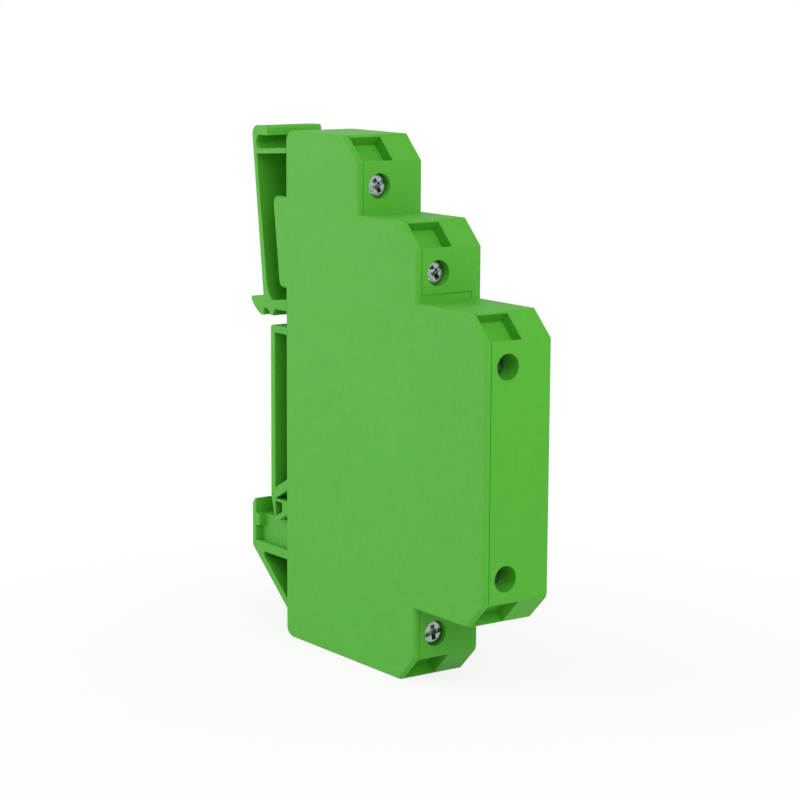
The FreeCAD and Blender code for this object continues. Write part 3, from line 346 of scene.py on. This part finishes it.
def coated_component(name, tones, roughness, size, ior, metal):
    """Cloudy two-tone coat with a fine bump, and tinned metal where a component has its leads or
    rims. Metal lies beyond each limit, which is an axis, a middle and a distance, or within it
    where the distance is negative. Each caller names the real material."""
    material, tree, place = start_material(name)
    cloud = add_node(tree, "ShaderNodeTexNoise", {
        "Vector": place, "Scale": per_mm(size), "Detail": 4.0})
    coat = add_node(tree, "ShaderNodeMix", {
        "Factor_Float": cloud.outputs["Fac"],
        "A_Color": colour(linear(tones[0])), "B_Color": colour(linear(tones[1])),
    }, data_type="RGBA")
    split = add_node(tree, "ShaderNodeSeparateXYZ", {"Vector": place})
    mask = 0.0
    for axis, middle, reach in metal:
        away = add_node(tree, "ShaderNodeMath", {
            "Value": split.outputs[axis], "Value_001": middle}, operation="SUBTRACT")
        away = add_node(tree, "ShaderNodeMath", {
            "Value": away.outputs["Value"]}, operation="ABSOLUTE")
        test = "GREATER_THAN" if reach > 0 else "LESS_THAN"
        hit = add_node(tree, "ShaderNodeMath", {
            "Value": away.outputs["Value"], "Value_001": abs(reach)}, operation=test)
        mask = add_node(tree, "ShaderNodeMath", {
            "Value": hit.outputs["Value"], "Value_001": mask}, operation="MAXIMUM").outputs["Value"]
    base = add_node(tree, "ShaderNodeMix", {
        "Factor_Float": mask, "A_Color": socket(coat.outputs, "Result_Color"),
        "B_Color": colour(LEAD_METAL),
    }, data_type="RGBA")
    dull = add_node(tree, "ShaderNodeMapRange", {
        "Value": cloud.outputs["Fac"], "To Min": roughness - 0.06, "To Max": roughness + 0.06})
    rough = add_node(tree, "ShaderNodeMix", {
        "Factor_Float": mask, "A_Float": dull.outputs["Result"], "B_Float": LEAD_ROUGHNESS})
    bump = add_node(tree, "ShaderNodeBump", {
        "Height": cloud.outputs["Fac"], "Strength": 0.15, "Distance": 0.03 * MM})
    finish_material(tree, {
        "Base Color": socket(base.outputs, "Result_Color"),
        "Metallic": mask,
        "Roughness": socket(rough.outputs, "Result_Float"),
        "Normal": bump.outputs["Normal"],
        "IOR": ior,
    })
    return material


def glazed_alumina(metal):
    """Alumina barrel, glazed, and brazed between plated electrodes. It is warm white and glossy."""
    return coated_component("glazed_alumina", ("#DAD2C4", "#EAE4DA"), 0.24, 2.0, 1.7, metal)


def cement_coat(metal):
    """Cement, dipped over a wire winding. It is grey-green, dull and gritty."""
    return coated_component("cement_coat", ("#5C6F58", "#6E8168"), 0.75, 0.5, 1.5, metal)


def moulded_epoxy(metal):
    """Epoxy, moulded over folded tinned leads. It is black and satin, with fine grit."""
    return coated_component("moulded_epoxy", ("#1C1C1D", "#262627"), 0.5, 0.4, 1.55, metal)


# Operators, one for each piece or group of like pieces

class SURGE_OT_case(bpy.types.Operator):
    """Gives the shell, the cover and the latch their moulded plastic"""
    bl_idname = "surge.case"
    bl_label = "Case mouldings"

    def execute(self, context):
        plastic = moulded_polyamide(context.scene.surge_case)
        for name in ("main_shell", "side_cover", "rail_latch"):
            dress(name, plastic)
        return {"FINISHED"}


class SURGE_OT_screws(bpy.types.Operator):
    """Builds the terminal screws with a rolled thread and a driver recess for slot and cross"""
    bl_idname = "surge.screws"
    bl_label = "Terminal screws"

    def execute(self, context):
        looks = context.scene.surge_screws
        zinc = zinc_plated_steel(looks)
        for number in TERMINALS:
            node = "terminal_screw_%d" % number
            low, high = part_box(node)
            top = high.x + CROWN_RISES[number - 1]
            centre = Vector((top, (low.y + high.y) / 2, (low.z + high.z) / 2))
            turn = Matrix.Rotation(math.radians(SLOT_ANGLES[number - 1]), 4, "X")
            mesh = screw_mesh(looks, top - low.x)
            mesh.transform(Matrix.Translation(centre) @ turn)
            body = "screw_%d" % number
            screw = new_piece(body, mesh, zinc, body)
            cut_recess(screw, Matrix.Translation(centre) @ turn)
            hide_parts(node)
        return {"FINISHED"}


# Screw head: its outside, the flat in its middle, the round of its rim, and the break below it
HEAD_RADIUS = 1.98 * MM
HEAD_HEIGHT = 1.5 * MM
FLAT_RADIUS = 1.3 * MM
RIM_ROUND = 0.1 * MM
UNDERSIDE_BREAK = 0.08 * MM

# Thread, and the point, which narrows over its last turns
THREAD_RADIUS = 1.5 * MM
THREAD_DEPTH = 0.27 * MM
POINT_TAPER = 0.45 * MM
POINT_TURNS = 1.2

# How finely a screw is drawn: round it, along the curves of its head, and along one pitch
ROUND_STEPS = 48
CURVE_STEPS = 4
ROWS_PER_PITCH = 6

# Driver recess: a slot right across the head, and a tapered cross in its middle
SLOT_REACH = 2.2 * MM
SLOT_HALF = 0.38 * MM
SLOT_DEPTH = 0.55 * MM
CROSS_REACH = 1.35 * MM
CROSS_HALF = 0.42 * MM
CROSS_DEPTH = 1.05 * MM
CROSS_TAPER = 0.62

# How far the cutting shapes stand out above the crown
CUT_ABOVE = 0.2 * MM

# Edges that turn by more degrees than this stay sharp
SHARP_ANGLE = 32


def screw_mesh(looks, length):
    """Closed screw along -X, the crown of its head at the origin."""
    head = []
    for step in range(CURVE_STEPS + 1):
        share = step / CURVE_STEPS
        head.append((
            -looks.crown * share * share,
            FLAT_RADIUS + (HEAD_RADIUS - RIM_ROUND - FLAT_RADIUS) * share))
    for step in range(1, CURVE_STEPS + 1):
        angle = math.pi / 2 * step / CURVE_STEPS
        head.append((
            -looks.crown - RIM_ROUND + RIM_ROUND * math.cos(angle),
            HEAD_RADIUS - RIM_ROUND + RIM_ROUND * math.sin(angle)))
    head.append((-HEAD_HEIGHT + UNDERSIDE_BREAK, HEAD_RADIUS))
    head.append((-HEAD_HEIGHT, HEAD_RADIUS - UNDERSIDE_BREAK))
    rings = [[(x, r)] * ROUND_STEPS for x, r in head]
    rows = int((length - HEAD_HEIGHT) / looks.pitch * ROWS_PER_PITCH)
    for row in range(rows + 1):
        x = -HEAD_HEIGHT - (length - HEAD_HEIGHT) * row / rows
        fade = min(1.0, row / ROWS_PER_PITCH)
        tip = min(1.0, (rows - row) / ROWS_PER_PITCH / POINT_TURNS)
        taper = (1 - tip) * POINT_TAPER
        ring = []
        for step in range(ROUND_STEPS):
            phase = (x / looks.pitch + step / ROUND_STEPS) % 1.0
            groove = abs(2 * phase - 1) * THREAD_DEPTH * fade
            ring.append((x, THREAD_RADIUS - groove - taper))
        rings.append(ring)
    mesh = bmesh.new()
    loops = []
    for ring in rings:
        loop = []
        for step, (x, radius) in enumerate(ring):
            angle = 2 * math.pi * step / ROUND_STEPS
            loop.append(mesh.verts.new((x, radius * math.cos(angle), radius * math.sin(angle))))
        loops.append(loop)
    for first, second in zip(loops, loops[1:]):
        for step in range(ROUND_STEPS):
            after = (step + 1) % ROUND_STEPS
            mesh.faces.new((first[step], first[after], second[after], second[step]))
    mesh.faces.new(loops[0])
    mesh.faces.new(reversed(loops[-1]))
    bmesh.ops.recalc_face_normals(mesh, faces=mesh.faces)
    for face in mesh.faces:
        face.smooth = True
    return mesh


def tapered_prism(outline, taper, top, bottom):
    """Closed prism along X from one outline, narrowed towards its bottom."""
    mesh = bmesh.new()
    high = [mesh.verts.new((top, y, z)) for y, z in outline]
    low = [mesh.verts.new((bottom, y * taper, z * taper)) for y, z in outline]
    mesh.faces.new(high)
    mesh.faces.new(reversed(low))
    for step in range(len(outline)):
        after = (step + 1) % len(outline)
        mesh.faces.new((high[step], low[step], low[after], high[after]))
    bmesh.ops.recalc_face_normals(mesh, faces=mesh.faces)
    return mesh


def cut_recess(screw, place):
    """Cuts the driver slot and the cross recess into a screw's head."""
    slot_outline = [
        (-SLOT_REACH, -SLOT_HALF), (SLOT_REACH, -SLOT_HALF),
        (SLOT_REACH, SLOT_HALF), (-SLOT_REACH, SLOT_HALF)]
    arm = ((CROSS_REACH, -CROSS_HALF), (CROSS_REACH, CROSS_HALF), (CROSS_HALF, CROSS_HALF))
    cross_outline = []
    for quarter in range(4):
        turn = Matrix.Rotation(math.pi / 2 * quarter, 2)
        for corner in arm:
            cross_outline.append(tuple(turn @ Vector(corner)))
    cuts = (
        tapered_prism(slot_outline, 1.0, CUT_ABOVE, -SLOT_DEPTH),
        tapered_prism(cross_outline, CROSS_TAPER, CUT_ABOVE, -CROSS_DEPTH),
    )
    for cut in cuts:
        cut.transform(place)
        data = bpy.data.meshes.new("recess")
        cut.to_mesh(data)
        cut.free()
        cutter = bpy.data.objects.new("recess", data)
        bpy.context.scene.collection.objects.link(cutter)
        apply_boolean(screw, cutter)
        bpy.data.objects.remove(cutter)
        bpy.data.meshes.remove(data)
    for face in screw.data.polygons:
        face.use_smooth = True
    screw.data.set_sharp_from_angle(angle=math.radians(SHARP_ANGLE))


def apply_boolean(item, cutter):
    """Subtracts a cutter and keeps the result as the item's mesh."""
    modifier = item.modifiers.new("cut", "BOOLEAN")
    modifier.operation = "DIFFERENCE"
    modifier.solver = "EXACT"
    modifier.object = cutter
    bpy.context.view_layer.update()
    graph = bpy.context.evaluated_depsgraph_get()
    result = bpy.data.meshes.new_from_object(item.evaluated_get(graph))
    item.modifiers.clear()
    old = item.data
    item.data = result
    bpy.data.meshes.remove(old)


class SURGE_OT_clamps(bpy.types.Operator):
    """Gives the clamp cages and the contact bars their plated metal"""
    bl_idname = "surge.clamps"
    bl_label = "Clamps and contact bars"

    def execute(self, context):
        zinc = zinc_plated_steel(context.scene.surge_screws)
        tin = tinned_copper()
        for number in TERMINALS:
            dress("clamp_cage_%d" % number, zinc)
            dress("contact_bar_%d" % number, tin)
        return {"FINISHED"}


class SURGE_OT_board(bpy.types.Operator):
    """Dresses the circuit board and adds its copper tracks, pads and solder joints"""
    bl_idname = "surge.board"
    bl_label = "Circuit board"

    def execute(self, context):
        dress("circuit_board", glass_epoxy_laminate())
        near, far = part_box("circuit_board")[0].y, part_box("circuit_board")[1].y
        solder = wave_solder()
        copper = etched_copper()
        joints = bmesh.new()
        for x, z in solder_places().values():
            add_solder_joint(joints, x, z)
        new_piece("solder_joints", joints, solder, "case")
        ends = dict(solder_places(), **diode_ends())
        sides = (("far", FAR_TRACKS, far, 1), ("near", NEAR_TRACKS, near, -1))
        for name, routes, face, out in sides:
            tracks = bmesh.new()
            for start, end in routes:
                add_track(tracks, ends[start], ends[end], face, out * TRACK_THICKNESS)
            new_piece("%s_tracks" % name, tracks, copper, "case")
        pads = bmesh.new()
        for x, z in diode_ends().values():
            add_plate(pads, box_outline(x, z, PAD_LENGTH, PAD_WIDTH), near, -2 * TRACK_THICKNESS)
        new_piece("diode_pads", pads, solder, "case")
        return {"FINISHED"}


# Copper tracks, and the pads under the diodes
TRACK_WIDTH = 1.6 * MM
TRACK_THICKNESS = 0.05 * MM
PAD_LENGTH = 2.2 * MM
PAD_WIDTH = 3.4 * MM

# How far pins and leads stand in from the ends of their pieces
BAR_PIN_INSET = 0.8 * MM
TUBE_LEAD_INSET = 0.6 * MM
RESISTOR_LEAD_INSET = 0.48 * MM
DIODE_LEAD_INSET = 0.6 * MM

# Solder joint: its profile is height and radius as shares of the two sizes
SOLDER_HEIGHT = 0.55 * MM
SOLDER_RADIUS = 0.95 * MM
SOLDER_STEPS = 20
SOLDER_PROFILE = ((0.0, 1.0), (0.08, 0.82), (0.25, 0.6), (0.55, 0.46), (0.85, 0.4), (1.0, 0.28))

# What the tracks on each side of the board link: bars by terminal number, leads by component
FAR_TRACKS = (
    ("bar_1", "resistor_1_front"), ("resistor_1_back", "resistor_2_back"), ("bar_2", "tube_high"),
    ("bar_3", "tube_middle"), ("tube_low", "bar_5"),
)
NEAR_TRACKS = (
    ("resistor_2_back", "diode_1_back"), ("resistor_2_front", "diode_1_front"),
    ("diode_1_back", "diode_2_back"), ("diode_2_front", "bar_4"),
)


def solder_places():
    """Where pins and leads come through the board."""
    places = {}
    for number in TERMINALS:
        low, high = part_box("contact_bar_%d" % number)
        foot = low.z + BAR_PIN_INSET if number in PINS_BELOW else high.z - BAR_PIN_INSET
        places["bar_%d" % number] = ((low.x + high.x) / 2, foot)
    low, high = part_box("gas_discharge_tube")
    middle = (low.x + high.x) / 2
    places["tube_low"] = (middle, low.z + TUBE_LEAD_INSET)
    places["tube_middle"] = (middle, (low.z + high.z) / 2)
    places["tube_high"] = (middle, high.z - TUBE_LEAD_INSET)
    for number in (1, 2):
        low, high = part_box("decoupling_resistor_%d" % number)
        height = (low.z + high.z) / 2
        places["resistor_%d_back" % number] = (low.x + RESISTOR_LEAD_INSET, height)
        places["resistor_%d_front" % number] = (high.x - RESISTOR_LEAD_INSET, height)
    return places


def diode_ends():
    """Middles of the pads under the ends of the surface-mounted diodes."""
    places = {}
    for number in (1, 2):
        low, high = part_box("suppressor_diode_%d" % number)
        height = (low.z + high.z) / 2
        places["diode_%d_back" % number] = (low.x + DIODE_LEAD_INSET, height)
        places["diode_%d_front" % number] = (high.x - DIODE_LEAD_INSET, height)
    return places


def add_solder_joint(mesh, x, z):
    """Concave cone of solder on the board's far side."""
    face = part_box("circuit_board")[1].y
    loops = []
    for height, radius in SOLDER_PROFILE:
        loop = []
        for step in range(SOLDER_STEPS):
            angle = 2 * math.pi * step / SOLDER_STEPS
            loop.append(mesh.verts.new((
                x + SOLDER_RADIUS * radius * math.cos(angle),
                face + SOLDER_HEIGHT * height,
                z + SOLDER_RADIUS * radius * math.sin(angle))))
        loops.append(loop)
    for first, second in zip(loops, loops[1:]):
        for step in range(SOLDER_STEPS):
            after = (step + 1) % SOLDER_STEPS
            quad = mesh.faces.new((first[step], second[step], second[after], first[after]))
            quad.smooth = True
    mesh.faces.new(loops[0])
    mesh.faces.new(reversed(loops[-1]))


def box_outline(x, z, length, width):
    """Corners of a rectangle about its middle."""
    half, side = length / 2, width / 2
    return [(x - half, z - side), (x + half, z - side), (x + half, z + side), (x - half, z + side)]


def add_plate(mesh, outline, face, thickness):
    """Thin plate on a face of the board. A negative thickness grows towards -Y."""
    first = len(mesh.faces)
    low = [mesh.verts.new((x, face, z)) for x, z in outline]
    high = [mesh.verts.new((x, face + thickness, z)) for x, z in outline]
    mesh.faces.new(low)
    mesh.faces.new(reversed(high))
    for step in range(len(outline)):
        after = (step + 1) % len(outline)
        mesh.faces.new((low[step], high[step], high[after], low[after]))
    mesh.faces.ensure_lookup_table()
    bmesh.ops.recalc_face_normals(mesh, faces=mesh.faces[first:])


def add_track(mesh, start, end, face, thickness):
    """Flat copper track that runs up first and then across, its ends cut slantwise."""
    corner = (start[0], end[1])
    for first, second in ((start, corner), (corner, end)):
        run = Vector((second[0] - first[0], second[1] - first[1]))
        if run.length < TRACK_WIDTH / 4:
            continue
        along = run.normalized() * TRACK_WIDTH / 2
        side = Vector((-along.y, along.x))
        tail, tip = Vector(first) - along, Vector(second) + along
        add_plate(mesh, (
            tail + side * 0.5, tail + along * 0.5 + side,
            tip - along * 0.5 + side, tip + side * 0.5,
            tip - side * 0.5, tip - along * 0.5 - side,
            tail + along * 0.5 - side, tail - side * 0.5,
        ), face, thickness)


# Where a component's coat ends and its metal begins, from its middle or its lower side
TUBE_RIM = 1.2 * MM
TUBE_MIDDLE_HALF = 0.6 * MM
RESISTOR_COAT_HALF = 4.49 * MM
DIODE_BODY_HALF = 3.46 * MM
DIODE_LEAD = 0.145 * MM


class SURGE_OT_components(bpy.types.Operator):
    """Dresses the gas discharge tube, the resistors and the diodes"""
    bl_idname = "surge.components"
    bl_label = "Protection components"

    def execute(self, context):
        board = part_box("circuit_board")[0].y
        low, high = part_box("gas_discharge_tube")
        middle = (low.z + high.z) / 2
        rim = (high.z - low.z) / 2 - TUBE_RIM
        dress("gas_discharge_tube", glazed_alumina((
            ("Z", middle, rim), ("Z", middle, -TUBE_MIDDLE_HALF), ("Y", low.y, board - low.y))))
        for number in (1, 2):
            low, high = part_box("decoupling_resistor_%d" % number)
            dress("decoupling_resistor_%d" % number, cement_coat((
                ("X", (low.x + high.x) / 2, RESISTOR_COAT_HALF),)))
            low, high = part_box("suppressor_diode_%d" % number)
            dress("suppressor_diode_%d" % number, moulded_epoxy((
                ("X", (low.x + high.x) / 2, DIODE_BODY_HALF),
                ("Y", low.y, board - DIODE_LEAD - low.y))))
        return {"FINISHED"}


class SURGE_OT_stage(bpy.types.Operator):
    """Adds the pale floor, the soft lights and the camera"""
    bl_idname = "surge.stage"
    bl_label = "Stage and camera"

    def execute(self, context):
        looks = context.scene.surge_stage
        build_floor()
        build_world(looks.sky)
        for lamp in LAMPS:
            build_lamp(looks.lamps, *lamp)
        build_camera(context.scene)
        context.scene.view_settings.view_transform = "Standard"
        return {"FINISHED"}


# Camera as it stood for the photograph: its aim point, distance, and angles in degrees
CAMERA_AIM = Vector((34.61, -2.62, 6.50)) * MM
CAMERA_DISTANCE = 392.7 * MM
CAMERA_AZIMUTH = 54.31
CAMERA_ELEVATION = 9.66
CAMERA_ROLL = 0.33

# Its lens and sensor in millimetres, and the nearest that it sees, in metres
CAMERA_LENS = 109.2
CAMERA_SENSOR = 36.0
CAMERA_NEAR = 0.01

# How much of the floor's shadow is washed out near the module, and where it is gone
SHADOW_WHITE = 0.85
SHADOW_FULL = 35 * MM
SHADOW_GONE = 105 * MM

# Radius of the floor, in metres
FLOOR_RADIUS = 4.0

# Lamps: name, azimuth and elevation in degrees, distance and width in metres, power in watts
LAMPS = (
    ("key", 78.0, 34.0, 0.55, 0.40, 1.80),
    ("side", -48.0, 16.0, 0.60, 0.50, 1.92),
    ("top", 40.0, 82.0, 0.50, 0.40, 0.12),
)


def direction(azimuth, elevation):
    """Unit vector from the object to something seen at those angles. Azimuth 0 lies towards -Y."""
    a, e = math.radians(azimuth), math.radians(elevation)
    return Vector((math.sin(a) * math.cos(e), -math.cos(a) * math.cos(e), math.sin(e)))


def build_floor():
    """Wide pale floor under the module."""
    mesh = bmesh.new()
    bmesh.ops.create_circle(mesh, cap_ends=True, segments=96, radius=FLOOR_RADIUS)
    mesh.transform(Matrix.Translation((0, 0, CAD_BOX[0][2])))
    data = bpy.data.meshes.new("floor")
    mesh.to_mesh(data)
    mesh.free()
    data.materials.append(matt_paper())
    floor = bpy.data.objects.new("floor", data)
    bpy.context.scene.collection.objects.link(floor)


def matt_paper():
    """Matt white paper, lit so that the camera and reflections see it nearly white. Close to the
    module it keeps part of the module's shadow, which fades into plain white further out."""
    material, tree, place = start_material("matt_paper")
    fibres = add_node(tree, "ShaderNodeTexNoise", {
        "Vector": place, "Scale": per_mm(3), "Detail": 3.0})
    base = add_node(tree, "ShaderNodeMix", {
        "Factor_Float": fibres.outputs["Fac"],
        "A_Color": colour(linear("#F2F2F2")), "B_Color": colour(linear("#F7F7F7")),
    }, data_type="RGBA")
    paper = add_node(tree, "ShaderNodeBsdfDiffuse", {
        "Color": socket(base.outputs, "Result_Color")})
    white = add_node(tree, "ShaderNodeEmission", {"Color": WHITE, "Strength": 1.0})
    reach = add_node(tree, "ShaderNodeVectorMath", {
        "Vector": place, "Vector_001": (CAMERA_AIM.x, 0.0, CAD_BOX[0][2])}, operation="DISTANCE")
    fade = add_node(tree, "ShaderNodeMapRange", {
        "Value": reach.outputs["Value"], "From Min": SHADOW_FULL, "From Max": SHADOW_GONE,
        "To Min": SHADOW_WHITE, "To Max": 1.0}, interpolation_type="SMOOTHSTEP")
    seen = add_node(tree, "ShaderNodeMath", {
        "Value": seen_directly(tree), "Value_001": fade.outputs["Result"]}, operation="MULTIPLY")
    mix = add_node(tree, "ShaderNodeMixShader", {
        "Fac": seen.outputs["Value"], "Shader": paper.outputs["BSDF"],
        "Shader_001": white.outputs["Emission"]})
    add_node(tree, "ShaderNodeOutputMaterial", {"Surface": mix.outputs["Shader"]})
    return material


def seen_directly(tree):
    """1 for what the camera sees, itself or by reflection or through something clear, and 0 for
    light that falls on things."""
    path = add_node(tree, "ShaderNodeLightPath")
    seen = path.outputs["Is Camera Ray"]
    for ray in ("Is Glossy Ray", "Is Transmission Ray"):
        seen = add_node(tree, "ShaderNodeMath", {
            "Value": seen, "Value_001": path.outputs[ray]}, operation="MAXIMUM").outputs["Value"]
    return seen


def build_world(strength):
    """Even white surroundings. The camera sees plain white behind the object."""
    world = bpy.data.worlds.new("studio")
    bpy.context.scene.world = world
    world.use_nodes = True
    tree = world.node_tree
    tree.nodes.clear()
    light = add_node(tree, "ShaderNodeBackground", {"Color": WHITE, "Strength": strength})
    seen = add_node(tree, "ShaderNodeBackground", {"Color": WHITE, "Strength": 1.0})
    mix = add_node(tree, "ShaderNodeMixShader", {
        "Fac": seen_directly(tree), "Shader": light.outputs["Background"],
        "Shader_001": seen.outputs["Background"]})
    add_node(tree, "ShaderNodeOutputWorld", {"Surface": mix.outputs["Shader"]})


def build_lamp(share, name, azimuth, elevation, distance, width, power):
    """Square soft lamp aimed at the middle of the module."""
    data = bpy.data.lights.new(name, "AREA")
    data.shape = "SQUARE"
    data.size = width
    data.energy = power * share
    lamp = bpy.data.objects.new(name, data)
    bpy.context.scene.collection.objects.link(lamp)
    toward = direction(azimuth, elevation)
    lamp.location = CAMERA_AIM + toward * distance
    lamp.rotation_euler = toward.to_track_quat("Z", "Y").to_euler()


def build_camera(scene):
    """Camera at the photograph's place."""
    data = bpy.data.cameras.new("camera")
    data.lens = CAMERA_LENS
    data.sensor_width = CAMERA_SENSOR
    data.clip_start = CAMERA_NEAR
    camera = bpy.data.objects.new("camera", data)
    scene.collection.objects.link(camera)
    toward = direction(CAMERA_AZIMUTH, CAMERA_ELEVATION)
    roll = Matrix.Rotation(math.radians(CAMERA_ROLL), 4, "Z")
    look = toward.to_track_quat("Z", "Y").to_matrix().to_4x4()
    stand = Matrix.Translation(CAMERA_AIM + toward * CAMERA_DISTANCE)
    camera.matrix_world = stand @ look @ roll
    scene.camera = camera


class SURGE_PT_panel(bpy.types.Panel):
    """Steps and settings of the module's looks"""
    bl_label = "Surge Protector"
    bl_idname = "SURGE_PT_panel"
    bl_space_type = "VIEW_3D"
    bl_region_type = "UI"
    bl_category = "Surge Protector"

    def draw(self, context):
        for group in ("surge_case", "surge_screws", "surge_stage"):
            box = self.layout.box()
            for name in getattr(context.scene, group).__annotations__:
                box.prop(getattr(context.scene, group), name)
        for step in STEPS:
            self.layout.operator(step.bl_idname)


GROUPS = {"surge_case": CaseLooks, "surge_screws": ScrewLooks, "surge_stage": StageLooks}
STEPS = (
    SURGE_OT_case, SURGE_OT_screws, SURGE_OT_clamps,
    SURGE_OT_board, SURGE_OT_components, SURGE_OT_stage,
)


def register():
    for name, group in GROUPS.items():
        bpy.utils.register_class(group)
        setattr(bpy.types.Scene, name, PointerProperty(type=group))
    for step in STEPS + (SURGE_PT_panel,):
        bpy.utils.register_class(step)


def unregister():
    for step in reversed(STEPS + (SURGE_PT_panel,)):
        bpy.utils.unregister_class(step)
    for name, group in GROUPS.items():
        delattr(bpy.types.Scene, name)
        bpy.utils.unregister_class(group)


def main():
    """Registers the add-on and runs its steps in order."""
    register()
    for step in STEPS:
        area, name = step.bl_idname.split(".")
        getattr(getattr(bpy.ops, area), name)()


if __name__ == "__main__":
    main()
